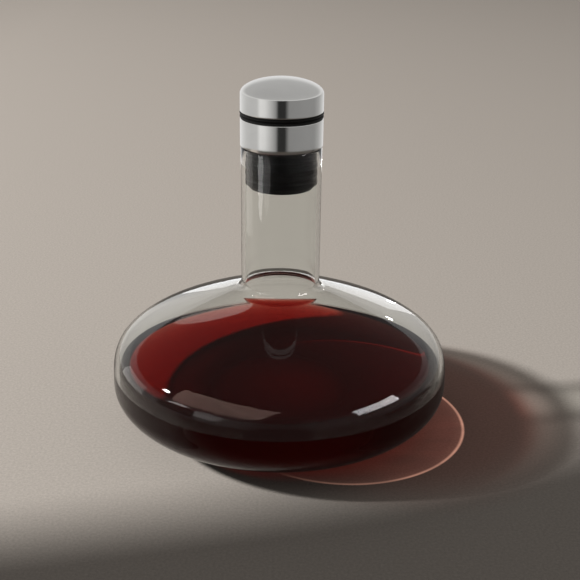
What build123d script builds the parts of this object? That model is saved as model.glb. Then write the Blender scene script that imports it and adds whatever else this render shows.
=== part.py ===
from build123d import *
from math import cos, radians, sin
import os

os.makedirs("parts", exist_ok=True)

# Low, wide wine carafe with a breathing pourer stopper and a domed lid.
# Millimetres, +Z up, origin at the centre of the foot ring. Pieces are turned about Z.

# Glass carafe
BODY_RADIUS = 105.0
WIDEST_HEIGHT = 31.3
FOOT_OUTER_RADIUS = 44.0
FOOT_INNER_RADIUS = 40.0
PUNT_RISE = 9.0
PUNT_CROWN_SHARE = 0.4
PUNT_EDGE_SHARE = 0.8
NECK_RADIUS = 24.1
NECK_BASE_HEIGHT = 91.8
NECK_BLEND = 5.0
RIM_HEIGHT = 181.2
SHOULDER_SLOPE = 21.5
SHOULDER_REACH = 86.0
SIDE_REACH_UP = 28.4
SIDE_REACH_DOWN = 24.9
FOOT_REACH = 4.9

# Inside of the glass
BODY_WALL = 2.8
BASE_WALL = 3.4
BORE_RADIUS = 21.9
BORE_BASE_HEIGHT = 89.6
INNER_SHOULDER_REACH = 86.0
INNER_SIDE_REACH_UP = 27.1
INNER_SIDE_REACH_DOWN = 20.9
INNER_FOOT_REACH = 8.0
RIM_ROUND_SHARE = 0.45

# Wine
WINE_LEVEL = 40.0
WINE_GAP = 0.05

# Steel collar and the core inside it
COLLAR_RADIUS = 24.55
COLLAR_TOP = 197.9
COLLAR_WALL = 0.9
SLIP = 0.05
FLANGE_HOLE_RADIUS = 18.75
HEAD_WALL = 1.6
HUB_WALL = 1.2
MOUTH_ROUND = 1.0
STEM_RADIUS = 18.6
STEM_BOTTOM = 158.5
HEAD_BOTTOM = RIM_HEIGHT + COLLAR_WALL
MOUTH_RADIUS = 19.8
CORE_BORE_RADIUS = 16.9
CORE_BORE_TOP = 193.9

# Ribbed silicone sleeve
RIB_RADIUS = 21.6
SLEEVE_BOTTOM = 156.0
SLEEVE_BOTTOM_RADIUS = 18.6
SLEEVE_CHAMFER_HEIGHT = 3.5
SLEEVE_LIP_RADIUS = 14.6
SLEEVE_SHOULDER_ROUND = 1.2
SLEEVE_END_ROUND = 0.8
GROOVE_ROUND = 2.0
GROOVE_DEPTH = 0.7
GROOVE_PITCH = 5.2
GROOVE_COUNT = 4
LOWEST_GROOVE = 163.5

# Plate across the core's bore
PLATE_TOP = 175.9
PLATE_THICKNESS = 2.5
WINE_HOLE_RADIUS = 2.4
WINE_HOLE_CIRCLE = 6.4
WINE_HOLE_COUNT = 6

# Seat that grips a bottle's mouth
SEAT_RADIUS = 15.1
SEAT_TOP = 188.9
SEAT_LEAD_IN = 1.0

# Air tube and spreader
TUBE_RADIUS = 1.9
TUBE_WALL = 0.5
TUBE_BOTTOM = 160.3
LINER_INNER_RADIUS = 15.5
CONE_RADIUS = 13.6
CONE_TOP_RADIUS = 3.4
CONE_TOP = 168.8
SPOKE_WIDTH = 3.0
SPOKE_COUNT = 3
SPOKE_HEIGHT = 1.2
CONE_WALL = 1.8
HUB_LENGTH = 4.0

# Lid
LID_BOTTOM = 201.8
LID_SKIRT_TOP = 212.0
LID_APEX = 221.0
LID_WALL = 0.8
LID_HEM = 0.6
LID_HEM_RADIUS = 23.0
DOME_RISE_REACH = 5.0
DOME_TOP_SHARE = 0.51
BOSS_RADIUS = 20.0
BOSS_BOTTOM = 198.4
SPIGOT_RADIUS = 15.6
SPIGOT_BORE = 13.6
SPIGOT_BOTTOM = 190.0
PLUG_TOP = 211.5
PLUG_DECK = 208.0
PLUG_CEILING = 206.0
PLUG_RIM = 21.5
UPPER_BEAD_RADIUS = 24.75
LOWER_BEAD_RADIUS = 24.65
BEAD_ROOT_RADIUS = 24.0
O_RING_HEIGHT = 191.4
O_RING_SECTION = 0.85
O_RING_GROOVE_RADIUS = 14.9


def shoulder_point(radius, height, reach):
    """End of the handle that gives the shoulder its slope away from the neck."""
    slope = radians(SHOULDER_SLOPE)
    return (radius + reach * cos(slope), height - reach * sin(slope))


def lower_cavity(gap):
    """Handles of the cavity wall from the foot to the widest level, moved in by gap."""
    widest = BODY_RADIUS - BODY_WALL - gap
    floor = BASE_WALL + gap
    return [
        (FOOT_OUTER_RADIUS, floor),
        (FOOT_OUTER_RADIUS + INNER_FOOT_REACH, floor),
        (widest, WIDEST_HEIGHT - INNER_SIDE_REACH_DOWN),
        (widest, WIDEST_HEIGHT),
    ]


def upper_cavity(gap):
    """Handles of the cavity wall from the widest level to the neck bore, moved in by gap."""
    widest = BODY_RADIUS - BODY_WALL - gap
    bore = BORE_RADIUS - gap
    return [
        (widest, WIDEST_HEIGHT),
        (widest, WIDEST_HEIGHT + INNER_SIDE_REACH_UP),
        shoulder_point(bore, BORE_BASE_HEIGHT, INNER_SHOULDER_REACH),
        (bore, BORE_BASE_HEIGHT),
    ]


def punt_crown(gap):
    """Handles of the raised floor of the cavity, from the axis out to the foot."""
    crown = PUNT_RISE + BASE_WALL + gap
    floor = BASE_WALL + gap
    return [
        (0, crown),
        (FOOT_OUTER_RADIUS * PUNT_CROWN_SHARE, crown),
        (FOOT_OUTER_RADIUS * PUNT_EDGE_SHARE, floor),
        (FOOT_OUTER_RADIUS, floor),
    ]


# One blown piece: flat foot ring round a raised punt, low wide body and straight neck.
with BuildPart() as carafe_glass:
    with BuildSketch(Plane.XZ):
        with BuildLine():
            Bezier(
                (FOOT_OUTER_RADIUS, 0),
                (FOOT_OUTER_RADIUS + FOOT_REACH, 0),
                (BODY_RADIUS, WIDEST_HEIGHT - SIDE_REACH_DOWN),
                (BODY_RADIUS, WIDEST_HEIGHT),
            )
            Bezier(
                (BODY_RADIUS, WIDEST_HEIGHT),
                (BODY_RADIUS, WIDEST_HEIGHT + SIDE_REACH_UP),
                shoulder_point(NECK_RADIUS, NECK_BASE_HEIGHT, SHOULDER_REACH),
                (NECK_RADIUS, NECK_BASE_HEIGHT),
            )
            Polyline(
                (NECK_RADIUS, NECK_BASE_HEIGHT),
                (NECK_RADIUS, RIM_HEIGHT),
                (BORE_RADIUS, RIM_HEIGHT),
                (BORE_RADIUS, BORE_BASE_HEIGHT),
            )
            Bezier(*upper_cavity(0))
            Bezier(*lower_cavity(0))
            Bezier(*punt_crown(0))
            Line((0, PUNT_RISE + BASE_WALL), (0, PUNT_RISE))
            Bezier(
                (0, PUNT_RISE),
                (FOOT_INNER_RADIUS * PUNT_CROWN_SHARE, PUNT_RISE),
                (FOOT_INNER_RADIUS * PUNT_EDGE_SHARE, FOOT_REACH),
                (FOOT_INNER_RADIUS, 0),
            )
            Line((FOOT_INNER_RADIUS, 0), (FOOT_OUTER_RADIUS, 0))
        make_face()
    revolve(axis=Axis.Z)
    round_edges = carafe_glass.edges().filter_by(GeomType.CIRCLE)
    fillet(round_edges.sort_by_distance((NECK_RADIUS, 0, NECK_BASE_HEIGHT))[0], NECK_BLEND)
    round_edges = carafe_glass.edges().filter_by(GeomType.CIRCLE)
    fillet(round_edges.sort_by_distance((BORE_RADIUS, 0, BORE_BASE_HEIGHT))[0], NECK_BLEND)
    rim_edges = carafe_glass.edges().filter_by(GeomType.CIRCLE).group_by(Axis.Z)[-1]
    fillet(rim_edges, (NECK_RADIUS - BORE_RADIUS) * RIM_ROUND_SHARE)
carafe_glass.part.label = "carafe_glass"
export_step(carafe_glass.part, "parts/carafe_glass.step")

# Wine up to its level, a film's width clear of the glass.
with BuildPart() as wine:
    with BuildSketch(Plane.XZ):
        with BuildLine():
            Bezier(*upper_cavity(WINE_GAP))
            Bezier(*lower_cavity(WINE_GAP))
            Bezier(*punt_crown(WINE_GAP))
            Polyline(
                (0, PUNT_RISE + BASE_WALL + WINE_GAP),
                (0, BORE_BASE_HEIGHT),
                (BORE_RADIUS - WINE_GAP, BORE_BASE_HEIGHT),
            )
        make_face()
        Rectangle(2 * BODY_RADIUS, 2 * WINE_LEVEL, mode=Mode.INTERSECT)
    revolve(axis=Axis.Z)
wine.part.label = "wine"
export_step(wine.part, "parts/wine.step")

# Polished collar with an inward flange that rests on the rim of the neck.
with BuildPart() as collar_shell:
    with BuildSketch(Plane.XZ):
        with BuildLine():
            Polyline(
                (FLANGE_HOLE_RADIUS, RIM_HEIGHT),
                (COLLAR_RADIUS, RIM_HEIGHT),
                (COLLAR_RADIUS, COLLAR_TOP),
                (COLLAR_RADIUS - COLLAR_WALL, COLLAR_TOP),
                (COLLAR_RADIUS - COLLAR_WALL, HEAD_BOTTOM),
                (FLANGE_HOLE_RADIUS, HEAD_BOTTOM),
                close=True,
            )
        make_face()
        outer_corners = vertices().group_by(Axis.X)[-1]
        fillet(outer_corners, COLLAR_WALL / 2)
    revolve(axis=Axis.Z)
collar_shell.part.label = "collar_shell"
export_step(collar_shell.part, "parts/collar_shell.step")

# Moulded core: pouring mouth and head in the collar, and a stem, with one bore through both.
with BuildPart() as pourer_core:
    with BuildSketch(Plane.XZ):
        with BuildLine():
            mouth = Bezier(
                (MOUTH_RADIUS, COLLAR_TOP),
                (CORE_BORE_RADIUS + MOUTH_ROUND, COLLAR_TOP - MOUTH_ROUND),
                (CORE_BORE_RADIUS, CORE_BORE_TOP + MOUTH_ROUND),
                (CORE_BORE_RADIUS, CORE_BORE_TOP),
            )
            Polyline(
                mouth @ 1,
                (CORE_BORE_RADIUS, STEM_BOTTOM),
                (STEM_RADIUS, STEM_BOTTOM),
                (STEM_RADIUS, HEAD_BOTTOM),
                (COLLAR_RADIUS - COLLAR_WALL - SLIP, HEAD_BOTTOM),
                (COLLAR_RADIUS - COLLAR_WALL - SLIP, COLLAR_TOP),
                mouth @ 0,
            )
        make_face()
    revolve(axis=Axis.Z)
    # Coring that keeps the wall of the head even.
    with BuildSketch(Plane.XY.offset(HEAD_BOTTOM)):
        Circle(COLLAR_RADIUS - COLLAR_WALL - SLIP - HEAD_WALL)
        Circle(STEM_RADIUS + HUB_WALL, mode=Mode.SUBTRACT)
    extrude(amount=CORE_BORE_TOP - HEAD_BOTTOM, mode=Mode.SUBTRACT)
pourer_core.part.label = "pourer_core"
export_step(pourer_core.part, "parts/pourer_core.step")

# Plate in the core's bore, with wine holes round the hole of the air tube.
with BuildPart() as strainer_plate:
    with BuildSketch(Plane.XY.offset(PLATE_TOP - PLATE_THICKNESS)):
        Circle(CORE_BORE_RADIUS - SLIP)
        Circle(TUBE_RADIUS + SLIP, mode=Mode.SUBTRACT)
        with PolarLocations(WINE_HOLE_CIRCLE, WINE_HOLE_COUNT):
            Circle(WINE_HOLE_RADIUS, mode=Mode.SUBTRACT)
    extrude(amount=PLATE_THICKNESS)
strainer_plate.part.label = "strainer_plate"
export_step(strainer_plate.part, "parts/strainer_plate.step")

# Black sleeve over the stem, with rounded grooves between its ribs and a chamfered end.
with BuildPart() as ribbed_sleeve:
    with BuildSketch(Plane.XZ):
        with BuildLine():
            Polyline(
                (SLEEVE_LIP_RADIUS, SLEEVE_BOTTOM),
                (SLEEVE_BOTTOM_RADIUS, SLEEVE_BOTTOM),
                (RIB_RADIUS, SLEEVE_BOTTOM + SLEEVE_CHAMFER_HEIGHT),
                (RIB_RADIUS, RIM_HEIGHT),
                (STEM_RADIUS + SLIP, RIM_HEIGHT),
                (STEM_RADIUS + SLIP, STEM_BOTTOM),
                (SLEEVE_LIP_RADIUS, STEM_BOTTOM),
                close=True,
            )
        make_face()
    revolve(axis=Axis.Z)
    round_edges = ribbed_sleeve.edges().filter_by(GeomType.CIRCLE)
    chamfer_top = (RIB_RADIUS, 0, SLEEVE_BOTTOM + SLEEVE_CHAMFER_HEIGHT)
    fillet(round_edges.sort_by_distance(chamfer_top)[0], SLEEVE_SHOULDER_ROUND)
    round_edges = ribbed_sleeve.edges().filter_by(GeomType.CIRCLE)
    chamfer_end = (SLEEVE_BOTTOM_RADIUS, 0, SLEEVE_BOTTOM)
    fillet(round_edges.sort_by_distance(chamfer_end)[0], SLEEVE_END_ROUND)
    with BuildSketch(Plane.XZ):
        for groove in range(GROOVE_COUNT):
            groove_height = LOWEST_GROOVE + groove * GROOVE_PITCH
            with Locations((RIB_RADIUS + GROOVE_ROUND - GROOVE_DEPTH, groove_height)):
                Circle(GROOVE_ROUND)
    revolve(axis=Axis.Z, mode=Mode.SUBTRACT)
ribbed_sleeve.part.label = "ribbed_sleeve"
export_step(ribbed_sleeve.part, "parts/ribbed_sleeve.step")

# Soft ring on the plate that grips the mouth of a bottle.
with BuildPart() as bottle_seat:
    with BuildSketch(Plane.XZ):
        with BuildLine():
            Polyline(
                (SEAT_RADIUS, PLATE_TOP),
                (CORE_BORE_RADIUS - SLIP, PLATE_TOP),
                (CORE_BORE_RADIUS - SLIP, SEAT_TOP),
                (SEAT_RADIUS + SEAT_LEAD_IN, SEAT_TOP),
                (SEAT_RADIUS, SEAT_TOP - 2 * SEAT_LEAD_IN),
                close=True,
            )
        make_face()
    revolve(axis=Axis.Z)
bottle_seat.part.label = "bottle_seat"
export_step(bottle_seat.part, "parts/bottle_seat.step")

# Spreader: a hollow cone that throws the wine outwards, on three spokes from a liner that
# stands on the sleeve's lip and carries the plate.
with BuildPart() as aerator_spreader:
    with BuildSketch(Plane.XZ):
        with BuildLine():
            Polyline(
                (CONE_RADIUS - CONE_WALL, STEM_BOTTOM),
                (CONE_RADIUS, STEM_BOTTOM),
                (CONE_RADIUS, STEM_BOTTOM + SPOKE_HEIGHT),
                (CONE_TOP_RADIUS, CONE_TOP),
                (TUBE_RADIUS + SLIP, CONE_TOP),
                (TUBE_RADIUS + SLIP, CONE_TOP - HUB_LENGTH),
                (CONE_TOP_RADIUS, CONE_TOP - HUB_LENGTH),
                close=True,
            )
        make_face()
    revolve(axis=Axis.Z)
    with BuildSketch(Plane.XY.offset(STEM_BOTTOM)):
        Circle(CORE_BORE_RADIUS - SLIP)
        Circle(LINER_INNER_RADIUS, mode=Mode.SUBTRACT)
    extrude(amount=PLATE_TOP - PLATE_THICKNESS - STEM_BOTTOM)
    liner_middle = (LINER_INNER_RADIUS + CORE_BORE_RADIUS) / 2
    spoke_start = CONE_RADIUS - CONE_WALL / 2
    with BuildSketch(Plane.XY.offset(STEM_BOTTOM)):
        with PolarLocations((spoke_start + liner_middle) / 2, SPOKE_COUNT):
            Rectangle(liner_middle - spoke_start, SPOKE_WIDTH)
    extrude(amount=SPOKE_HEIGHT)
aerator_spreader.part.label = "aerator_spreader"
export_step(aerator_spreader.part, "parts/aerator_spreader.step")

# Thin steel tube, flush with the plate, that lets air up while the wine runs down round it.
with BuildPart() as vent_tube:
    with BuildSketch(Plane.XY.offset(TUBE_BOTTOM)):
        Circle(TUBE_RADIUS)
        Circle(TUBE_RADIUS - TUBE_WALL, mode=Mode.SUBTRACT)
    extrude(amount=PLATE_TOP - TUBE_BOTTOM)
vent_tube.part.label = "vent_tube"
export_step(vent_tube.part, "parts/vent_tube.step")

# Polished cap: straight skirt, rolled shoulder and low dome, with a small hem turned inwards.
with BuildPart() as lid_shell:
    with BuildSketch(Plane.XZ):
        with BuildLine():
            Polyline(
                (LID_HEM_RADIUS, LID_BOTTOM),
                (COLLAR_RADIUS, LID_BOTTOM),
                (COLLAR_RADIUS, LID_SKIRT_TOP),
            )
            Bezier(
                (COLLAR_RADIUS, LID_SKIRT_TOP),
                (COLLAR_RADIUS, LID_SKIRT_TOP + DOME_RISE_REACH),
                (COLLAR_RADIUS * DOME_TOP_SHARE, LID_APEX),
                (0, LID_APEX),
            )
            Line((0, LID_APEX), (0, LID_APEX - LID_WALL))
            Bezier(
                (0, LID_APEX - LID_WALL),
                ((COLLAR_RADIUS - LID_WALL) * DOME_TOP_SHARE, LID_APEX - LID_WALL),
                (COLLAR_RADIUS - LID_WALL, LID_SKIRT_TOP + DOME_RISE_REACH - LID_WALL / 2),
                (COLLAR_RADIUS - LID_WALL, LID_SKIRT_TOP),
            )
            Polyline(
                (COLLAR_RADIUS - LID_WALL, LID_SKIRT_TOP),
                (COLLAR_RADIUS - LID_WALL, LID_BOTTOM + LID_HEM),
                (LID_HEM_RADIUS, LID_BOTTOM + LID_HEM),
                (LID_HEM_RADIUS, LID_BOTTOM),
            )
        make_face()
    revolve(axis=Axis.Z)
    hem_edges = lid_shell.edges().filter_by(GeomType.CIRCLE)
    fillet(hem_edges.sort_by_distance((COLLAR_RADIUS, 0, LID_BOTTOM))[0], LID_HEM / 2)
lid_shell.part.label = "lid_shell"
export_step(lid_shell.part, "parts/lid_shell.step")

# Moulded insert of the lid: head inside the cap, boss for the seal ring, spigot with a groove.
with BuildPart() as lid_plug:
    with BuildSketch(Plane.XZ):
        with BuildLine():
            Polyline(
                (SPIGOT_BORE, SPIGOT_BOTTOM),
                (SPIGOT_RADIUS, SPIGOT_BOTTOM),
                (SPIGOT_RADIUS, BOSS_BOTTOM),
                (BOSS_RADIUS, BOSS_BOTTOM),
                (BOSS_RADIUS, LID_BOTTOM),
                (LID_HEM_RADIUS - SLIP, LID_BOTTOM),
                (LID_HEM_RADIUS - SLIP, LID_BOTTOM + LID_HEM),
                (COLLAR_RADIUS - LID_WALL - SLIP, LID_BOTTOM + LID_HEM),
                (COLLAR_RADIUS - LID_WALL - SLIP, PLUG_TOP),
                (PLUG_RIM, PLUG_TOP),
                (PLUG_RIM, PLUG_DECK),
                (0, PLUG_DECK),
                (0, PLUG_CEILING),
                (SPIGOT_BORE, PLUG_CEILING),
                close=True,
            )
        make_face()
    revolve(axis=Axis.Z)
    with BuildSketch(Plane.XY.offset(O_RING_HEIGHT - O_RING_SECTION - SLIP)):
        Circle(SPIGOT_RADIUS)
        Circle(O_RING_GROOVE_RADIUS, mode=Mode.SUBTRACT)
    extrude(amount=2 * (O_RING_SECTION + SLIP), mode=Mode.SUBTRACT)
lid_plug.part.label = "lid_plug"
export_step(lid_plug.part, "parts/lid_plug.step")

# Seal ring between lid and collar, with two rounded beads on its outside.
with BuildPart() as lid_seal_ring:
    with BuildSketch(Plane.XZ):
        with BuildLine():
            waist = (BEAD_ROOT_RADIUS, (COLLAR_TOP + LID_BOTTOM) / 2)
            lower_bead = (LOWER_BEAD_RADIUS, (COLLAR_TOP + waist[1]) / 2)
            upper_bead = (UPPER_BEAD_RADIUS, (LID_BOTTOM + waist[1]) / 2)
            ThreePointArc((BEAD_ROOT_RADIUS, COLLAR_TOP), lower_bead, waist)
            ThreePointArc(waist, upper_bead, (BEAD_ROOT_RADIUS, LID_BOTTOM))
            Polyline(
                (BEAD_ROOT_RADIUS, LID_BOTTOM),
                (BOSS_RADIUS + SLIP, LID_BOTTOM),
                (BOSS_RADIUS + SLIP, COLLAR_TOP),
                (BEAD_ROOT_RADIUS, COLLAR_TOP),
            )
        make_face()
    revolve(axis=Axis.Z)
lid_seal_ring.part.label = "lid_seal_ring"
export_step(lid_seal_ring.part, "parts/lid_seal_ring.step")

# O-ring in the spigot's groove.
with BuildPart() as plug_o_ring:
    with BuildSketch(Plane.XZ):
        with Locations((O_RING_GROOVE_RADIUS + O_RING_SECTION, O_RING_HEIGHT)):
            Circle(O_RING_SECTION)
    revolve(axis=Axis.Z)
plug_o_ring.part.label = "plug_o_ring"
export_step(plug_o_ring.part, "parts/plug_o_ring.step")
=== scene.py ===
import math

import bpy
from mathutils import Matrix, Vector


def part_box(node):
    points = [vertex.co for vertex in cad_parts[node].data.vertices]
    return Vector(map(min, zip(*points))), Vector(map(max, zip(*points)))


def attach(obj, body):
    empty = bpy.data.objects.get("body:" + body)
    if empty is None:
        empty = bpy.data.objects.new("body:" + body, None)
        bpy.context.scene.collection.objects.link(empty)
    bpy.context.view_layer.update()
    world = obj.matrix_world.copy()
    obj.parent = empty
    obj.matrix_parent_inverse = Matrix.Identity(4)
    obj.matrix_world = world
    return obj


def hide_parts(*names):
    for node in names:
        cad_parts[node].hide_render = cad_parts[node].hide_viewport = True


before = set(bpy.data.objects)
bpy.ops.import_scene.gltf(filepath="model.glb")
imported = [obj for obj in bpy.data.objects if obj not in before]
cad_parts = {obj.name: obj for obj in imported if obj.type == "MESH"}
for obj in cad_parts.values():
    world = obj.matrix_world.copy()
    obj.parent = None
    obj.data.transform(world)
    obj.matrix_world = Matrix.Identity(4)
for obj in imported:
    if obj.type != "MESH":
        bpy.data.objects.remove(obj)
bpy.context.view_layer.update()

MM = 0.001
scene = bpy.context.scene


# ---------------------------------------------------------------- curves and turned meshes
def bezier(points, count):
    """count + 1 points of a cubic Bezier, given by its four (radius, height) handles."""
    out = []
    for i in range(count + 1):
        t = i / count
        s = 1 - t
        weights = (s ** 3, 3 * s * s * t, 3 * s * t * t, t ** 3)
        out.append(tuple(sum(w * p[k] for w, p in zip(weights, points)) for k in (0, 1)))
    return out


def arc(centre, radius, start, end, count):
    """count + 1 points of an arc, angles in degrees."""
    out = []
    for i in range(count + 1):
        angle = math.radians(start + (end - start) * i / count)
        out.append((centre[0] + radius * math.cos(angle), centre[1] + radius * math.sin(angle)))
    return out


def line(start, end, count):
    """count points from start, leaving the end out."""
    return [
        (start[0] + (end[0] - start[0]) * i / count, start[1] + (end[1] - start[1]) * i / count)
        for i in range(count)
    ]


def joined(*runs):
    """One run of points, without repeated neighbours."""
    out = []
    for run in runs:
        for p in run:
            if not out or math.dist(out[-1], p) > 1e-4:
                out.append(p)
    return out


def pushed(run, lengths):
    """A run moved out along its own normals, by a length for each point."""
    out = []
    for i, (r, z) in enumerate(run):
        a, b = run[max(i - 1, 0)], run[min(i + 1, len(run) - 1)]
        dx, dz = b[0] - a[0], b[1] - a[1]
        size = math.hypot(dx, dz)
        out.append((r + lengths[i] * dz / size, z - lengths[i] * dx / size))
    return out


def rounded_upwards(run, radius, count):
    """A run whose last point is a corner under an upright line, with that corner rounded."""
    (x0, z0), corner = run[-2:]
    length = math.hypot(corner[0] - x0, corner[1] - z0)
    dx, dz = (corner[0] - x0) / length, (corner[1] - z0) / length
    turn = math.atan2(dz, dx) - math.pi / 2
    tangent = radius * math.tan(abs(turn) / 2)
    start = (corner[0] - dx * tangent, corner[1] - dz * tangent)
    centre = (corner[0] + radius, corner[1] + tangent)
    first = math.degrees(math.atan2(start[1] - centre[1], start[0] - centre[0]))
    if first > 0:
        first -= 360
    kept = [p for p in run if math.dist(p, corner) > tangent + 0.3]
    return kept + arc(centre, radius, first, -180, count)


STEPS = 240


def turned(name, profile, body, nodes, closed=True, sharp=40):
    """A mesh turned about Z from (radius, height) points in mm, that stands for CAD nodes."""
    verts, rings = [], []
    for r, z in profile:
        if r < 1e-6:
            rings.append([len(verts)])
            verts.append((0, 0, z * MM))
            continue
        start = len(verts)
        rings.append(list(range(start, start + STEPS)))
        for k in range(STEPS):
            a = 2 * math.pi * k / STEPS
            verts.append((r * math.cos(a) * MM, r * math.sin(a) * MM, z * MM))
    faces = []
    pairs = list(zip(rings, rings[1:]))
    if closed:
        pairs.append((rings[-1], rings[0]))
    for low, high in pairs:
        if len(low) == 1 and len(high) == 1:
            continue
        for k in range(STEPS):
            n = (k + 1) % STEPS
            if len(low) == 1:
                faces.append((low[0], high[n], high[k]))
            elif len(high) == 1:
                faces.append((low[k], low[n], high[0]))
            else:
                faces.append((low[k], low[n], high[n], high[k]))
    mesh = bpy.data.meshes.new(name)
    mesh.from_pydata(verts, [], faces)
    mesh.validate()
    mesh.update()
    mesh.shade_smooth()
    mesh.set_sharp_from_angle(angle=math.radians(sharp))
    obj = bpy.data.objects.new(name, mesh)
    scene.collection.objects.link(obj)
    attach(obj, body)
    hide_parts(*nodes)
    return obj


# ---------------------------------------------------------------- sizes, mm
_, glass_high = (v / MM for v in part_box("carafe_glass"))
_, collar_high = (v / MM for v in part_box("collar_shell"))
lid_low, lid_high = (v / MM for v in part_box("lid_shell"))
sleeve_low, sleeve_high = (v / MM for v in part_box("ribbed_sleeve"))
_, wine_high = (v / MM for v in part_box("wine"))
_, seal_high = (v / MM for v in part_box("lid_seal_ring"))

BODY_R = glass_high.x
RIM_Z = glass_high.z
WIDEST_Z = 31.3
FOOT_OUT, FOOT_IN = 44.0, 40.0
PUNT_RISE = 9.0
PUNT_CROWN_SHARE, PUNT_EDGE_SHARE = 0.4, 0.8
NECK_R, BORE_R = 24.1, 21.9
NECK_WALL = NECK_R - BORE_R
NECK_BASE_Z = 91.8
NECK_BLEND = 7.0
BODY_WALL, BASE_WALL = 2.8, 3.4
WINE_Z = wine_high.z

# How far the handles of the body's curves reach.
SHOULDER_SLOPE = math.radians(21.5)
SHOULDER_REACH = 86.0
SIDE_REACH_UP, SIDE_REACH_DOWN, FOOT_REACH = 28.4, 24.9, 4.9
INNER_SIDE_REACH_DOWN, INNER_FOOT_REACH = 20.9, 8.0

# ---------------------------------------------------------------- glass
outer_low = bezier(
    [
        (FOOT_OUT, 0),
        (FOOT_OUT + FOOT_REACH, 0),
        (BODY_R, WIDEST_Z - SIDE_REACH_DOWN),
        (BODY_R, WIDEST_Z),
    ],
    60,
)
outer_up = bezier(
    [
        (BODY_R, WIDEST_Z),
        (BODY_R, WIDEST_Z + SIDE_REACH_UP),
        (
            NECK_R + SHOULDER_REACH * math.cos(SHOULDER_SLOPE),
            NECK_BASE_Z - SHOULDER_REACH * math.sin(SHOULDER_SLOPE),
        ),
        (NECK_R, NECK_BASE_Z),
    ],
    90,
)
inner_low = bezier(
    [
        (FOOT_OUT, BASE_WALL),
        (FOOT_OUT + INNER_FOOT_REACH, BASE_WALL),
        (BODY_R - BODY_WALL, WIDEST_Z - INNER_SIDE_REACH_DOWN),
        (BODY_R - BODY_WALL, WIDEST_Z),
    ],
    60,
)
punt_top = bezier(
    [
        (0, PUNT_RISE + BASE_WALL),
        (FOOT_OUT * PUNT_CROWN_SHARE, PUNT_RISE + BASE_WALL),
        (FOOT_OUT * PUNT_EDGE_SHARE, BASE_WALL),
        (FOOT_OUT, BASE_WALL),
    ],
    26,
)
punt_under = bezier(
    [
        (0, PUNT_RISE),
        (FOOT_IN * PUNT_CROWN_SHARE, PUNT_RISE),
        (FOOT_IN * PUNT_EDGE_SHARE, FOOT_REACH),
        (FOOT_IN, 0),
    ],
    26,
)

# The wall thins from the body to the neck.
outer_wall = rounded_upwards(outer_up, NECK_BLEND, 14)
inner_wall = pushed(
    outer_wall,
    [
        -NECK_WALL - (BODY_WALL - NECK_WALL) * (r - NECK_R) / (BODY_R - NECK_R)
        for r, z in outer_wall
    ],
)
rim_round = NECK_WALL / 2
rim = arc(((NECK_R + BORE_R) / 2, RIM_Z - rim_round), rim_round, 0, 180, 14)

glass_profile = joined(
    punt_under[:-1],
    line(punt_under[-1], (FOOT_OUT, 0), 3),
    outer_low,
    outer_wall,
    line(outer_wall[-1], rim[0], 10),
    rim,
    line(inner_wall[-1], rim[-1], 10)[::-1],
    inner_wall[::-1],
    inner_low[::-1],
    punt_top[::-1],
)
glass = turned(
    "carafe_glass_blown", glass_profile, "carafe", ["carafe_glass"], sharp=60
)

# ---------------------------------------------------------------- wine
# The wine reaches a hair into the glass, so that light crosses one surface from glass to wine.
WET_OVERLAP = 0.12
WET_WALL_GAP, WET_FACE_GAP = 0.4, 0.5
MENISCUS_RISE, MENISCUS_REACH, MENISCUS_FALL = 0.6, 1.8, 4.2
MENISCUS_STEPS = 14
SURFACE_DROP = 0.35

inner_all = joined(inner_low, inner_wall)
wetted = pushed(inner_all, [WET_OVERLAP] * len(inner_all))
wet = [p for p in wetted if p[1] < WINE_Z - WET_WALL_GAP]
wall_at_level = next(
    a[0] + (b[0] - a[0]) * (WINE_Z - a[1]) / (b[1] - a[1])
    for a, b in zip(inner_all, inner_all[1:])
    if a[1] <= WINE_Z < b[1]
)
meniscus = []
for i in range(MENISCUS_STEPS + 1):
    t = i / MENISCUS_STEPS
    climb = MENISCUS_RISE * math.exp(-MENISCUS_FALL * t)
    meniscus.append(
        (
            wall_at_level + WET_OVERLAP - MENISCUS_REACH * t,
            WINE_Z - SURFACE_DROP - MENISCUS_RISE + climb,
        )
    )
surface_z = meniscus[-1][1]
surface = line(meniscus[-1], (0, surface_z), 24) + [(0, surface_z)]
floor_run = [(r, z - WET_OVERLAP) for r, z in punt_top]
wine_profile = joined(floor_run[:-1], wet, meniscus, surface)
wine = turned("wine_fill", wine_profile, "carafe", ["wine"], closed=False, sharp=50)

# ---------------------------------------------------------------- steel collar
COLLAR_R = collar_high.x
COLLAR_TOP = collar_high.z
COLLAR_WALL = 0.9
FLANGE_R = 18.75
edge = COLLAR_WALL / 2
collar_in = COLLAR_R - COLLAR_WALL
flange_top = RIM_Z + COLLAR_WALL
collar_profile = joined(
    line((FLANGE_R, RIM_Z), (COLLAR_R - edge, RIM_Z), 4),
    arc((COLLAR_R - edge, RIM_Z + edge), edge, -90, 0, 8),
    line((COLLAR_R, RIM_Z + edge), (COLLAR_R, COLLAR_TOP - edge), 6),
    arc((COLLAR_R - edge, COLLAR_TOP - edge), edge, 0, 180, 14),
    line((collar_in, COLLAR_TOP - edge), (collar_in, flange_top), 4),
    [(collar_in, flange_top), (FLANGE_R, flange_top)],
)
collar = turned("collar_polished", collar_profile, "stopper", ["collar_shell"])

# ---------------------------------------------------------------- ribbed sleeve
RIB_R = sleeve_high.x
SLEEVE_Z = sleeve_low.z
SLEEVE_LIP_R = 14.6
SLEEVE_END_R = 18.6
CHAMFER_HEIGHT = 3.5
STEM_HOLE_R, STEM_BOTTOM_Z = 18.65, 158.5
GROOVE_R, GROOVE_DEEP, GROOVE_PITCH = 2.0, 0.7, 5.2
GROOVES, GROOVE_LOW = 4, 163.5

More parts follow.
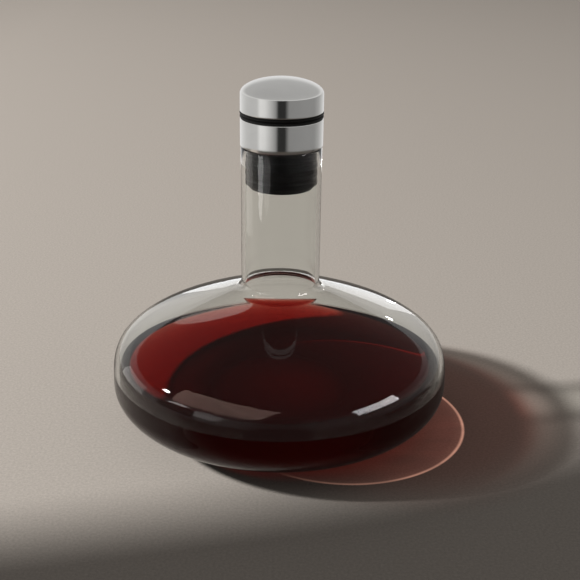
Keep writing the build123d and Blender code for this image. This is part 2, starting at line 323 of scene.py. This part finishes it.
half = math.degrees(math.acos((GROOVE_R - GROOVE_DEEP) / GROOVE_R))
ribs = []
for g in range(GROOVES):
    centre = (RIB_R + GROOVE_R - GROOVE_DEEP, GROOVE_LOW + g * GROOVE_PITCH)
    ribs += arc(centre, GROOVE_R, 180 + half, 180 - half, 12)
sleeve_profile = joined(
    line((SLEEVE_LIP_R, SLEEVE_Z), (SLEEVE_END_R, SLEEVE_Z), 4),
    # The round under the chamfer, then the round over it.
    bezier(
        [
            (SLEEVE_END_R - 0.5, SLEEVE_Z),
            (SLEEVE_END_R, SLEEVE_Z),
            (SLEEVE_END_R + 0.15, SLEEVE_Z + 0.1),
            (SLEEVE_END_R + 0.5, SLEEVE_Z + 0.6),
        ],
        8,
    ),
    bezier(
        [
            (RIB_R - 0.7, SLEEVE_Z + CHAMFER_HEIGHT - 0.8),
            (RIB_R - 0.2, SLEEVE_Z + CHAMFER_HEIGHT - 0.3),
            (RIB_R, SLEEVE_Z + CHAMFER_HEIGHT),
            (RIB_R, SLEEVE_Z + CHAMFER_HEIGHT + 0.8),
        ],
        10,
    ),
    ribs,
    [
        (RIB_R, RIM_Z),
        (STEM_HOLE_R, RIM_Z),
        (STEM_HOLE_R, STEM_BOTTOM_Z),
        (SLEEVE_LIP_R, STEM_BOTTOM_Z),
    ],
)
sleeve = turned(
    "sleeve_ribbed", sleeve_profile, "stopper", ["ribbed_sleeve"], sharp=30
)

# ---------------------------------------------------------------- lid
LID_R = lid_high.x
LID_Z0, LID_TOP = lid_low.z, lid_high.z
SKIRT_TOP = 212.0
LID_WALL, LID_HEM, HEM_R = 0.8, 0.6, 23.0
HEM_ROUND = 0.3
DOME_RISE_REACH, DOME_TOP_SHARE = 5.0, 0.51
INNER_DOME_REACH, INNER_DOME_RISE = 12.1, 4.6

lid_in, lid_ceiling = LID_R - LID_WALL, LID_TOP - LID_WALL
lid_profile = joined(
    bezier(
        [
            (0, lid_ceiling),
            (INNER_DOME_REACH, lid_ceiling),
            (lid_in, SKIRT_TOP + INNER_DOME_RISE),
            (lid_in, SKIRT_TOP),
        ],
        40,
    ),
    [(lid_in, LID_Z0 + LID_HEM), (HEM_R, LID_Z0 + LID_HEM), (HEM_R, LID_Z0)],
    arc((LID_R - HEM_ROUND, LID_Z0 + HEM_ROUND), HEM_ROUND, -90, 0, 6),
    line((LID_R, LID_Z0 + HEM_ROUND), (LID_R, SKIRT_TOP), 6),
    bezier(
        [
            (LID_R, SKIRT_TOP),
            (LID_R, SKIRT_TOP + DOME_RISE_REACH),
            (LID_R * DOME_TOP_SHARE, LID_TOP),
            (0, LID_TOP),
        ],
        70,
    ),
)
lid = turned("lid_polished", lid_profile, "lid", ["lid_shell"], closed=False)

# ---------------------------------------------------------------- seal ring
UPPER_R = seal_high.x
LOWER_R = UPPER_R - 0.1
ROOT_R = 24.0
SEAL_BORE_R = 20.05
BEAD_STEPS = 14
BEAD_FULLNESS = 0.7
waist = (COLLAR_TOP + LID_Z0) / 2


def bead(z0, z1, radius):
    """The round outside of a bead from z0 to z1."""
    out = []
    for i in range(BEAD_STEPS + 1):
        swell = math.sin(math.pi * i / BEAD_STEPS) ** BEAD_FULLNESS
        out.append((ROOT_R + (radius - ROOT_R) * swell, z0 + (z1 - z0) * i / BEAD_STEPS))
    return out


seal_profile = joined(
    [(SEAL_BORE_R, COLLAR_TOP)],
    bead(COLLAR_TOP, waist, LOWER_R),
    bead(waist, LID_Z0, UPPER_R),
    [(SEAL_BORE_R, LID_Z0)],
)
seal = turned("seal_beaded", seal_profile, "lid", ["lid_seal_ring"], sharp=50)


# ---------------------------------------------------------------- shader nodes
def material(name):
    m = bpy.data.materials.new(name)
    m.use_nodes = True
    return m, m.node_tree, m.node_tree.nodes["Principled BSDF"]


def object_coords(nt, scale=(1, 1, 1)):
    mp = nt.nodes.new("ShaderNodeMapping")
    mp.inputs["Scale"].default_value = scale
    nt.links.new(unscaled_coords(nt), mp.inputs["Vector"])
    return mp.outputs["Vector"]


def unscaled_coords(nt):
    return nt.nodes.new("ShaderNodeTexCoord").outputs["Object"]


def separated(nt, vector):
    n = nt.nodes.new("ShaderNodeSeparateXYZ")
    nt.links.new(vector, n.inputs["Vector"])
    return n.outputs


def noise(nt, vector, scale, detail=3.0, rough=0.5):
    n = nt.nodes.new("ShaderNodeTexNoise")
    n.inputs["Scale"].default_value = scale
    n.inputs["Detail"].default_value = detail
    n.inputs["Roughness"].default_value = rough
    nt.links.new(vector, n.inputs["Vector"])
    return n.outputs["Fac"]


def ranged(nt, value, low, high, from_low=0.3, from_high=0.7):
    r = nt.nodes.new("ShaderNodeMapRange")
    r.inputs["From Min"].default_value = from_low
    r.inputs["From Max"].default_value = from_high
    r.inputs["To Min"].default_value = low
    r.inputs["To Max"].default_value = high
    nt.links.new(value, r.inputs["Value"])
    return r.outputs["Result"]


def math_node(nt, operation, a, b):
    n = nt.nodes.new("ShaderNodeMath")
    n.operation = operation
    for socket, value in zip(n.inputs, (a, b)):
        if isinstance(value, (int, float)):
            socket.default_value = value
        else:
            nt.links.new(value, socket)
    return n.outputs["Value"]


def scaled(nt, colour, factor):
    n = nt.nodes.new("ShaderNodeVectorMath")
    n.operation = "SCALE"
    nt.links.new(colour, n.inputs["Vector"])
    nt.links.new(factor, n.inputs["Scale"])
    return n.outputs["Vector"]


def bump(nt, height, distance, strength, normal=None):
    b = nt.nodes.new("ShaderNodeBump")
    b.inputs["Distance"].default_value = distance
    b.inputs["Strength"].default_value = strength
    nt.links.new(height, b.inputs["Height"])
    if normal is not None:
        nt.links.new(normal, b.inputs["Normal"])
    return b.outputs["Normal"]


def ramp(nt, value, entries, interpolation="LINEAR"):
    """A colour ramp from (position, colour) entries."""
    n = nt.nodes.new("ShaderNodeValToRGB")
    n.color_ramp.interpolation = interpolation
    elements = n.color_ramp.elements
    while len(elements) < len(entries):
        elements.new(0.5)
    for element, (position, colour) in zip(elements, entries):
        element.position = position
        element.color = (*colour, 1)
    nt.links.new(value, n.inputs["Fac"])
    return n.outputs["Color"]


def warmed(entries):
    """(position, colour) entries from (position, brightness, warmth) ones."""
    return [
        (position, (bright * (1 + warm), bright, bright * (1 - warm)))
        for position, bright, warm in entries
    ]


def tinted(nt, value, dark, light):
    return ramp(nt, value, [(0.25, dark), (0.75, light)])


# ---------------------------------------------------------------- the object's materials
GLASS_IOR = 1.48
WINE_IOR = 1.34
OPEN_SURFACE = "open_surface"
EDGE_BLEND = 0.35

# The side of the body bends most of the light aside. It starts and ends over these heights, mm.
BULGE_START, BULGE_END = (3, 9), (31, 41)
BENT_SHARE = 0.97


def lets_lamps_through(nt, shader, clear, edge, straight=None):
    """Glass and wine pass light to what is behind them, less where they are seen edge on.

    straight: a shader value for the share of that light that isn't bent aside.
    """
    path = nt.nodes.new("ShaderNodeLightPath")
    facing = nt.nodes.new("ShaderNodeLayerWeight")
    facing.inputs["Blend"].default_value = EDGE_BLEND
    passed = ramp(nt, facing.outputs["Facing"], [(0.15, clear), (0.95, edge)])
    if straight is not None:
        passed = scaled(nt, passed, straight)
    clear_shader = nt.nodes.new("ShaderNodeBsdfTransparent")
    nt.links.new(passed, clear_shader.inputs["Color"])
    mix = nt.nodes.new("ShaderNodeMixShader")
    nt.links.new(path.outputs["Is Shadow Ray"], mix.inputs["Fac"])
    nt.links.new(shader, mix.inputs[1])
    nt.links.new(clear_shader.outputs["BSDF"], mix.inputs[2])
    nt.links.new(mix.outputs["Shader"], nt.nodes["Material Output"].inputs["Surface"])


def absorbing(nt, colour, density, glow):
    """A clear coloured liquid, with a painted red glow inside it that stands in for a little light
    spread about in the wine.
    """
    v = nt.nodes.new("ShaderNodeVolumeAbsorption")
    v.inputs["Color"].default_value = (*colour, 1)
    v.inputs["Density"].default_value = density
    painted_glow_emission = nt.nodes.new("ShaderNodeEmission")
    painted_glow_emission.inputs["Color"].default_value = (*glow, 1)
    both = nt.nodes.new("ShaderNodeAddShader")
    nt.links.new(v.outputs["Volume"], both.inputs[0])
    nt.links.new(painted_glow_emission.outputs["Emission"], both.inputs[1])
    nt.links.new(both.outputs["Shader"], nt.nodes["Material Output"].inputs["Volume"])


def straight_share(nt):
    """1, but less where light comes out of the bulging side of the body."""
    z = separated(nt, object_coords(nt))["Z"]
    above_foot = ranged(nt, z, 0, 1, *(v * MM for v in BULGE_START))
    below_shoulder = ranged(nt, z, 1, 0, *(v * MM for v in BULGE_END))
    side = math_node(nt, "MULTIPLY", above_foot, below_shoulder)
    going_in = nt.nodes.new("ShaderNodeNewGeometry").outputs["Backfacing"]
    bent = math_node(nt, "MULTIPLY", side, math_node(nt, "SUBTRACT", 1.0, going_in))
    return math_node(nt, "SUBTRACT", 1.0, math_node(nt, "MULTIPLY", bent, BENT_SHARE))


def set_clear(p, ior, specular_tint):
    p.inputs["Transmission Weight"].default_value = 1.0
    p.inputs["Roughness"].default_value = 0.0
    p.inputs["IOR"].default_value = ior
    p.inputs["Specular Tint"].default_value = (specular_tint,) * 3 + (1,)


def glass_material(name, ior, tint, clear, edge, bulges):
    m, nt, p = material(name)
    set_clear(p, ior, 0.3)
    waves = noise(nt, object_coords(nt), 14, 1.0, 0.4)
    smears = noise(nt, object_coords(nt, (1, 1, 0.5)), 60, 4, 0.55)
    nt.links.new(bump(nt, waves, 0.0005, 0.2), p.inputs["Normal"])
    smeared = tuple(c * 0.985 for c in tint)
    nt.links.new(tinted(nt, smears, smeared, tint), p.inputs["Base Color"])
    straight = straight_share(nt) if bulges else None
    lets_lamps_through(nt, p.outputs["BSDF"], clear, edge, straight)
    return m


def wine_material():
    """Bends light at its open surface only: its sides lie in the glass, which does it there."""
    m, nt, p = material("red_wine")
    set_clear(p, WINE_IOR, 0.6)
    p.inputs["Base Color"].default_value = (1, 1, 1, 1)
    is_open = nt.nodes.new("ShaderNodeAttribute")
    is_open.attribute_name = OPEN_SURFACE
    nt.links.new(ranged(nt, is_open.outputs["Fac"], 1.0, WINE_IOR, 0.4, 0.6), p.inputs["IOR"])
    ripples = noise(nt, object_coords(nt), 30, 1, 0.3)
    nt.links.new(bump(nt, ripples, 0.0002, 0.1), p.inputs["Normal"])
    lets_lamps_through(nt, p.outputs["BSDF"], (1, 1, 1), (0.9, 0.88, 0.88))
    # The wine's volume absorbs light and also gets a painted red glow.
    absorbing(nt, (0.825, 0.16, 0.03), 180.0, (0.17, 0.012, 0.006))
    return m


def steel_material(name, colour, rough, brushed):
    m, nt, p = material(name)
    p.inputs["Metallic"].default_value = 1.0
    coords = object_coords(nt)
    stained = tuple(c * 0.95 for c in colour)
    stain = noise(nt, coords, 90, 4, 0.6)
    nt.links.new(tinted(nt, stain, stained, colour), p.inputs["Base Color"])
    smudge = noise(nt, object_coords(nt, (1, 1, 0.6)), 130, 5, 0.65)
    nt.links.new(ranged(nt, smudge, rough * 0.7, rough * 1.5), p.inputs["Roughness"])
    lines = noise(nt, object_coords(nt, (1, 1, 40 if brushed else 14)), 160, 3, 0.6)
    dents = bump(nt, noise(nt, coords, 45, 2, 0.4), 0.0004, 0.05)
    nt.links.new(bump(nt, lines, 0.00002, 0.35 if brushed else 0.08, dents), p.inputs["Normal"])
    return m


def silicone_material(name, specular):
    m, nt, p = material(name)
    coords = object_coords(nt)
    dust = tinted(nt, noise(nt, coords, 900, 5, 0.7), (0.0045, 0.0045, 0.005), (0.010,) * 3)
    nt.links.new(dust, p.inputs["Base Color"])
    nt.links.new(ranged(nt, noise(nt, coords, 120, 3, 0.5), 0.5, 0.62), p.inputs["Roughness"])
    p.inputs["Specular IOR Level"].default_value = specular
    nt.links.new(bump(nt, noise(nt, coords, 2600, 3, 0.5), 0.00003, 0.4), p.inputs["Normal"])
    return m


def plastic_material():
    m, nt, p = material("black_moulded_plastic")
    coords = object_coords(nt)
    cells = nt.nodes.new("ShaderNodeTexVoronoi")
    cells.inputs["Scale"].default_value = 1400
    nt.links.new(coords, cells.inputs["Vector"])
    cloud = noise(nt, coords, 300, 4, 0.6)
    nt.links.new(
        tinted(nt, cloud, (0.020, 0.020, 0.021), (0.036, 0.035, 0.034)), p.inputs["Base Color"]
    )
    nt.links.new(ranged(nt, noise(nt, coords, 200, 3), 0.38, 0.55), p.inputs["Roughness"])
    nt.links.new(bump(nt, cells.outputs["Distance"], 0.00004, 0.5), p.inputs["Normal"])
    return m


glass_m = glass_material(
    "blown_glass", GLASS_IOR, (0.95, 0.97, 0.96), (0.95, 0.955, 0.95), (0.22, 0.22, 0.21), True
)
wet_glass_m = glass_material(
    "wet_glass", GLASS_IOR / WINE_IOR, (1, 1, 1), (1, 1, 1), (0.95, 0.95, 0.95), False
)
steel_m = steel_material("polished_steel", (0.80, 0.79, 0.765), 0.08, False)
tube_m = steel_material("tube_steel", (0.66, 0.66, 0.65), 0.28, True)
silicone_m = silicone_material("black_silicone", 0.12)
seal_m = silicone_material("seal_silicone", 0.45)
plastic_m = plastic_material()

for obj, mat in (
    (glass, glass_m),
    (wine, wine_material()),
    (collar, steel_m),
    (lid, steel_m),
    (sleeve, silicone_m),
    (seal, seal_m),
):
    obj.data.materials.append(mat)

# The glass has a second material where the wine wets it.
glass.data.materials.append(wet_glass_m)
for face in glass.data.polygons:
    inward = face.normal.x * face.center.x + face.normal.y * face.center.y < 0
    r, z = math.hypot(face.center.x, face.center.y) / MM, face.center.z / MM
    facing_up = face.normal.z > 0.05 and r < FOOT_OUT and z > BASE_WALL - WET_FACE_GAP
    if z < WINE_Z - WET_FACE_GAP and (inward or facing_up):
        face.material_index = 1

# The wine knows which part of it is open to the air.
open_surface = wine.data.attributes.new(OPEN_SURFACE, "FLOAT", "POINT")
open_surface.data.foreach_set(
    "value", [1.0 if v.co.z / MM > surface_z - 0.05 else 0.0 for v in wine.data.vertices]
)

# The pieces that keep their CAD mesh.
for node, mat in (
    ("pourer_core", plastic_m),
    ("strainer_plate", plastic_m),
    ("aerator_spreader", plastic_m),
    ("lid_plug", plastic_m),
    ("bottle_seat", silicone_m),
    ("plug_o_ring", silicone_m),
    ("vent_tube", tube_m),
):
    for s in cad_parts[node].material_slots:
        s.material = mat

# ---------------------------------------------------------------- stage
ALL_RAYS = ("camera", "diffuse", "glossy", "transmission", "shadow")
FLOOR_R = 4.2


def direction(azimuth, elevation):
    a, e = math.radians(azimuth), math.radians(elevation)
    return Vector((math.cos(e) * math.cos(a), math.cos(e) * math.sin(a), math.sin(e)))


def stage_mesh(name, verts, faces, mat, seen_by):
    """A mesh that isn't part of the object, seen only by the named kinds of ray."""
    mesh = bpy.data.meshes.new(name)
    mesh.from_pydata(verts, [], faces)
    mesh.materials.append(mat)
    obj = bpy.data.objects.new(name, mesh)
    scene.collection.objects.link(obj)
    for kind in ALL_RAYS:
        setattr(obj, "visible_" + kind, kind in seen_by)
    return obj


def stage_disc(name, at, radius, steps, mat, seen_by):
    verts = [tuple(radius * direction(360 * k / steps, 0)) for k in range(steps)]
    disc = stage_mesh(name, verts, [tuple(range(steps))], mat, seen_by)
    disc.location = at


def floor_material():
    """Plain and slightly grainy.

    Its grain blurs away in reflections, where what lies behind the object has painted shade.
    It has painted shade towards the key lamp, which would make it white in low views.
    """
    m, nt, p = material("pale_floor")
    coords = object_coords(nt)
    at = separated(nt, coords)
    path = nt.nodes.new("ShaderNodeLightPath").outputs
    mirrored = math_node(nt, "SUBTRACT", path["Is Glossy Ray"], path["Is Transmission Ray"])
    mirrored = math_node(nt, "MAXIMUM", mirrored, 0.0)
    direct = math_node(nt, "SUBTRACT", 1.0, mirrored)

    speckle = math_node(nt, "SUBTRACT", noise(nt, coords, 620, 4, 0.75), 0.5)
    speckle = math_node(nt, "ADD", math_node(nt, "MULTIPLY", speckle, direct), 0.5)
    colour = tinted(nt, speckle, (0.385, 0.358, 0.331), (0.565, 0.527, 0.489))

    # Painted shade: the floor behind the object is darker in reflections.
    behind = ranged(nt, at["Y"], 0, 0.6, 0.0, 0.09)
    painted_reflection_shade_factor = math_node(nt, "SUBTRACT", 1.0, math_node(nt, "MULTIPLY", mirrored, behind))
    # Painted shade: the floor's colour darkens towards the key lamp.
    painted_shade_near_key = ranged(nt, at["X"], 0.23, 1.0, -3.0, -0.5)
    kept = math_node(nt, "MULTIPLY", painted_reflection_shade_factor, painted_shade_near_key)
    nt.links.new(scaled(nt, colour, kept), p.inputs["Base Color"])

    nt.links.new(ranged(nt, noise(nt, coords, 3.0, 3, 0.5), 0.55, 0.7), p.inputs["Roughness"])
    p.inputs["Specular IOR Level"].default_value = 0.0
    relief = math_node(nt, "MULTIPLY", noise(nt, coords, 650, 4, 0.65), direct)
    nt.links.new(bump(nt, relief, 0.0002, 0.35), p.inputs["Normal"])
    return m


stage_disc("floor", (0, 0, 0), FLOOR_R, 96, floor_material(), ALL_RAYS)


def glow_material(name, strength=1.0):
    """Gives light and nothing else. With a strength of 0 it is black cloth."""
    m = bpy.data.materials.new(name)
    m.use_nodes = True
    nt = m.node_tree
    nt.nodes.clear()
    emit = nt.nodes.new("ShaderNodeEmission")
    emit.inputs["Strength"].default_value = strength
    out = nt.nodes.new("ShaderNodeOutputMaterial")
    nt.links.new(emit.outputs["Emission"], out.inputs["Surface"])
    return m, nt, emit


# ---------------------------------------------------------------- lamps
AIM = Vector((0, 0, 0.08))
NECK_MIDDLE = Vector((0, 0, 0.15))
WHITE = (1, 1, 1)
NECK_LIGHT = (1.0, 0.98, 0.96)


def softbox(name, shape, place, size, radiance, colour=WHITE, aim=AIM, only=None, through=False):
    """An area lamp facing aim, at (azimuth, elevation, distance) from it.

    radiance: what a mirror shows of it. only: the collection that it lights.
    through: seen by light that came through the glass, and not in reflections.
    """
    azimuth, elevation, distance = place
    width, height = size
    data = bpy.data.lights.new(name, "AREA")
    data.shape = shape
    data.size, data.size_y = width, height
    data.energy = radiance * math.pi * width * height
    data.color = colour
    obj = bpy.data.objects.new(name, data)
    at = aim + direction(azimuth, elevation) * distance
    facing = (aim - at).to_track_quat("-Z", "Y").to_matrix().to_4x4()
    obj.matrix_world = Matrix.Translation(at) @ facing
    scene.collection.objects.link(obj)
    obj.visible_camera = False
    obj.visible_glossy = not through
    obj.visible_transmission = through
    if only is not None:
        obj.light_linking.receiver_collection = only
    return obj


def receivers(name, *objects):
    """A collection that lamps can be kept to."""
    group = bpy.data.collections.new(name)
    scene.collection.children.link(group)
    for obj in objects:
        group.objects.link(obj)
    return group


# Key light from the left, rather low and small enough for a shadow with an edge.
KEY_AZIMUTH, KEY_ELEVATION = 187, 31
KEY_POWER = 455
key = softbox(
    "key", "DISK", (KEY_AZIMUTH, KEY_ELEVATION, 5.6), (0.48, 0.48), 1.0, (1.0, 0.965, 0.925)
)
key.data.energy = KEY_POWER
key.visible_glossy = False

# A flag keeps the key off the nearest part of the floor.
FLAG_HEIGHT = 0.39
FLAG_DEPTH = Vector((0.4, -6.0, 0))
FLAG_SHADOW = (Vector((-5.0, -1.25, 0)), Vector((0.012, -0.098, 0)), Vector((5.0, 1.90, 0)))
key_at = key.matrix_world.translation
flag_edge = [p + (key_at - p) * (FLAG_HEIGHT / key_at.z) for p in FLAG_SHADOW]
flag_far = [flag_edge[-1] + FLAG_DEPTH, flag_edge[0] + FLAG_DEPTH]
stage_mesh(
    "flag",
    [tuple(p) for p in flag_edge + flag_far],
    [(0, 1, 2, 3, 4)],
    glow_material("flag_cloth", 0.0)[0],
    ("shadow",),
)

# What shows as reflections on the glass: the key, two windows, streaks on the neck, the light
# behind the shoulders and two sparkles.
glassware = receivers("glassware", glass)
for name, shape, place, size, radiance, colour, aim in (
    ("key_glint", "ELLIPSE", (KEY_AZIMUTH - 8, 33, 4.0), (0.5, 0.3), 200.0, WHITE, AIM),
    ("window_left", "RECTANGLE", (-136, 43.5, 2.6), (2.9, 1.6), 4.4, (1.0, 0.68, 0.58), AIM),
    (
        "window_right",
        "RECTANGLE",
        (-20.5, 23, 0.50),
        (0.31, 0.15),
        24.0,
        (1.0, 0.95, 0.95),
        Vector((0.055, -0.085, 0.05)),
    ),
    ("neck_streak", "ELLIPSE", (-148, -10, 0.30), (0.09, 0.10), 8.0, NECK_LIGHT, NECK_MIDDLE),
    ("neck_fill", "ELLIPSE", (-130, -10, 0.30), (0.11, 0.08), 2.2, NECK_LIGHT, NECK_MIDDLE),
    (
        "neck_left",
        "RECTANGLE",
        (170, -12, 0.36),
        (0.16, 0.12),
        1.4,
        (1.0, 0.97, 0.93),
        NECK_MIDDLE,
    ),
    ("shoulder_back", "ELLIPSE", (86, 0, 0.58), (0.74, 0.18), 0.88, WHITE, AIM),
    (
        "spark_high",
        "RECTANGLE",
        (76, -3.5, 0.45),
        (0.012, 0.010),
        45.0,
        WHITE,
        Vector((0.067, 0.018, 0.068)),
    ),
    (
        "spark_low",
        "RECTANGLE",
        (66, 17, 0.50),
        (0.012, 0.010),
        80.0,
        WHITE,
        Vector((0.067, -0.010, 0.070)),
    ),
):
    softbox(name, shape, place, size, radiance, colour, aim, glassware)

# A haze on the far wall, seen through the glass.
softbox(
    "far_haze",
    "ELLIPSE",
    (95, 22, 1.2),
    (0.17, 0.05),
    1.0,
    (1, 0.93, 0.88),
    Vector((-0.05, 0.083, 0.038)),
    glassware,
    through=True,
)

# Keeps the streak's lamp off the body.
CARD_ENDS = ((-0.115, -0.135), (-0.205, -0.085))
CARD_LOW, CARD_HIGH = 0.045, 0.083
stage_mesh(
    "streak_card",
    [(*end, CARD_LOW) for end in CARD_ENDS] + [(*end, CARD_HIGH) for end in CARD_ENDS[::-1]],
    [(0, 1, 2, 3)],
    glow_material("streak_card_cloth", 0.0)[0],
    ("glossy",),
)

# A soft light over the set for the steel.
steelware = receivers("steelware", collar, lid)
softbox("overhead", "RECTANGLE", (-90, 90, 1.25), (20.0, 20.0), 0.44, only=steelware)

# ---------------------------------------------------------------- painted light and shade on the floor
# Both sheets are laid where the wine's light falls, away from the key.
# Where the sheets of painted caustic light and painted shadow tint lie on the floor.
PAINTED_CAUSTIC_AT, PAINTED_CAUSTIC_R = (0.042, -0.007, 0.0003), 0.0775
PAINTED_SHADOW_TINT_AT, PAINTED_SHADOW_TINT_R = (0.078, 0.004, 0.0002), 0.125
SHEET_STEPS = 72


def from_middle(nt, coords, radius):
    """0 in the middle of a sheet and 1 at its edge."""
    length = nt.nodes.new("ShaderNodeVectorMath")
    length.operation = "LENGTH"
    nt.links.new(coords, length.inputs[0])
    return math_node(nt, "DIVIDE", length.outputs["Value"], radius)


def painted_caustic_material():
    """Painted red light on a glowing sheet, standing in for the light the wine gathers: faint
    inside, with a bright rim on its far side.
    """
    m, nt, emit = glow_material("painted_caustic_light")
    coords = unscaled_coords(nt)
    painted_caustic_colour = ramp(
        nt,
        from_middle(nt, coords, PAINTED_CAUSTIC_R),
        [
            (0.0, (0.040, 0.007, 0.004)),
            (0.90, (0.052, 0.012, 0.008)),
            (0.965, (0.07, 0.022, 0.015)),
            (0.985, (0.50, 0.24, 0.17)),
            (1.0, (0, 0, 0)),
        ],
    )
    nt.links.new(painted_caustic_colour, emit.inputs["Color"])
    along = math_node(nt, "DIVIDE", separated(nt, coords)["X"], PAINTED_CAUSTIC_R)
    streaks = noise(nt, object_coords(nt, (1, 3, 1)), 22, 3, 0.6)
    bright = math_node(
        nt, "MULTIPLY", ranged(nt, along, 0.04, 1.0, -0.55, 0.9), ranged(nt, streaks, 0.7, 1.15)
    )
    nt.links.new(bright, emit.inputs["Strength"])
    add = nt.nodes.new("ShaderNodeAddShader")
    nt.links.new(emit.outputs["Emission"], add.inputs[0])
    nt.links.new(nt.nodes.new("ShaderNodeBsdfTransparent").outputs["BSDF"], add.inputs[1])
    nt.links.new(add.outputs["Shader"], nt.nodes["Material Output"].inputs["Surface"])
    return m


def painted_shadow_tint_material():
    """A clear sheet of painted shade that darkens and warms what the camera sees of the shadow
    under the wine.
    """
    m, nt, _ = glow_material("painted_shadow_tint")
    across = from_middle(nt, unscaled_coords(nt), PAINTED_SHADOW_TINT_R)
    tint = ramp(nt, across, [(0.55, (0.90, 0.62, 0.58)), (1.0, (1, 1, 1))], "EASE")
    clear = nt.nodes.new("ShaderNodeBsdfTransparent")
    nt.links.new(tint, clear.inputs["Color"])
    nt.links.new(clear.outputs["BSDF"], nt.nodes["Material Output"].inputs["Surface"])
    return m


# A glowing sheet of painted caustic light on the floor.
stage_disc(
    "painted_caustic_light", PAINTED_CAUSTIC_AT, PAINTED_CAUSTIC_R, SHEET_STEPS, painted_caustic_material(), ("camera", "transmission")
)
# A sheet of painted shade over the shadow under the wine.
stage_disc("painted_shadow_tint", PAINTED_SHADOW_TINT_AT, PAINTED_SHADOW_TINT_R, SHEET_STEPS, painted_shadow_tint_material(), ("camera",))


# ---------------------------------------------------------------- surroundings
def surround(name, radius, low, high, around, seen_by):
    """A band round the set.

    around: (azimuth from -180 to 180 degrees, brightness, warmth) entries.
    """
    m, nt, emit = glow_material(name)
    at = separated(nt, unscaled_coords(nt))
    angle = math_node(nt, "ARCTAN2", at["Y"], at["X"])
    turn = math_node(nt, "ADD", math_node(nt, "DIVIDE", angle, 2 * math.pi), 0.5)
    entries = warmed(((azimuth + 180) / 360, bright, warm) for azimuth, bright, warm in around)
    nt.links.new(ramp(nt, turn, entries), emit.inputs["Color"])
    steps = 72
    ring = [direction(-180 + 360 * k / steps, 0) * radius for k in range(steps)]
    verts = [(v.x, v.y, z) for z in (low, high) for v in ring]
    faces = [(k, (k + 1) % steps, steps + (k + 1) % steps, steps + k) for k in range(steps)]
    stage_mesh(name, verts, faces, m, seen_by)


# What polished surfaces see round the set: a lit wall to the left, the photographer in front.
surround(
    "near_surround",
    0.62,
    0.001,
    0.30,
    [
        (-180, 0.56, 0.0),
        (-160, 0.58, 0.0),
        (-150, 0.84, 0.0),
        (-136, 0.78, 0.0),
        (-114, 0.44, 0.0),
        (-106, 0.30, 0.0),
        (-99, 0.03, 0.0),
        (-81, 0.03, 0.0),
        (-70, 0.27, 0.0),
        (-20, 0.30, 0.0),
        (8, 0.30, 0.0),
        (28, 0.42, 0.0),
        (60, 0.74, 0.0),
        (120, 0.84, 0.0),
        (160, 0.60, 0.0),
        (180, 0.56, 0.0),
    ],
    ("glossy",),
)

# What is seen through the glass beyond the floor.
surround(
    "far_surround",
    2.6,
    0.0,
    0.62,
    [
        (-180, 0.38, 0.09),
        (-60, 0.30, 0.09),
        (0, 0.34, 0.09),
        (90, 0.38, 0.09),
        (180, 0.38, 0.09),
    ],
    ("transmission",),
)

# The room: dim where it lights matt surfaces or is seen through the glass, lighter in reflections.
AMBIENT = (0.165, 0.155, 0.146)
BACKDROP = (0.36, 0.33, 0.30)

world = bpy.data.worlds.new("room")
scene.world = world
world.use_nodes = True
world.cycles.sampling_method = "NONE"
wt = world.node_tree


def mixed(value, low, high):
    """low where value is 0, high where it is 1. Both are a colour or a socket."""
    r = wt.nodes.new("ShaderNodeMix")
    r.data_type = "RGBA"
    wt.links.new(value, r.inputs["Factor"])
    colour_sockets = [s for s in r.inputs if s.type == "RGBA"]
    for socket, source in zip(colour_sockets, (low, high)):
        if isinstance(source, tuple):
            socket.default_value = (*source, 1)
        else:
            wt.links.new(source, socket)
    return next(s for s in r.outputs if s.type == "RGBA")


height = separated(wt, wt.nodes.new("ShaderNodeTexCoord").outputs["Generated"])["Z"]
reflected = ramp(
    wt,
    height,
    warmed([(0.0, 0.45, 0.0), (0.22, 0.30, 0.0), (0.40, 0.05, 0.0), (1.0, 0.005, 0.0)]),
)
through = ramp(
    wt,
    height,
    warmed([(0.0, 0.36, 0.09), (0.13, 0.33, 0.08), (0.24, 0.08, 0.05), (1.0, 0.05, 0.0)]),
)
path = wt.nodes.new("ShaderNodeLightPath").outputs
colour = mixed(path["Is Transmission Ray"], reflected, through)
colour = mixed(path["Is Diffuse Ray"], colour, AMBIENT)
colour = mixed(path["Is Camera Ray"], colour, BACKDROP)
wt.links.new(colour, wt.nodes["Background"].inputs["Color"])

# ---------------------------------------------------------------- camera
FOCAL_LENGTH = 68.45
CAMERA_AT = Vector((0, -0.6374, 0.3450))
PITCH_DOWN, YAW, ROLL = 21.91, 0.545, 0.703
camera_data = bpy.data.cameras.new("camera")
camera_data.lens = FOCAL_LENGTH
camera_data.sensor_width = 36
camera_data.clip_start = 0.01
camera = bpy.data.objects.new("camera", camera_data)
scene.collection.objects.link(camera)
camera.matrix_world = (
    Matrix.Translation(CAMERA_AT)
    @ Matrix.Rotation(math.radians(-YAW), 4, "Z")
    @ Matrix.Rotation(math.radians(90 - PITCH_DOWN), 4, "X")
    @ Matrix.Rotation(math.radians(ROLL), 4, "Z")
)
bpy.context.scene.camera = camera

scene.view_settings.view_transform = "Standard"
scene.cycles.max_bounces = 24
scene.cycles.transmission_bounces = 20
scene.cycles.glossy_bounces = 8
scene.cycles.transparent_max_bounces = 16
scene.cycles.caustics_refractive = False
scene.cycles.caustics_reflective = False
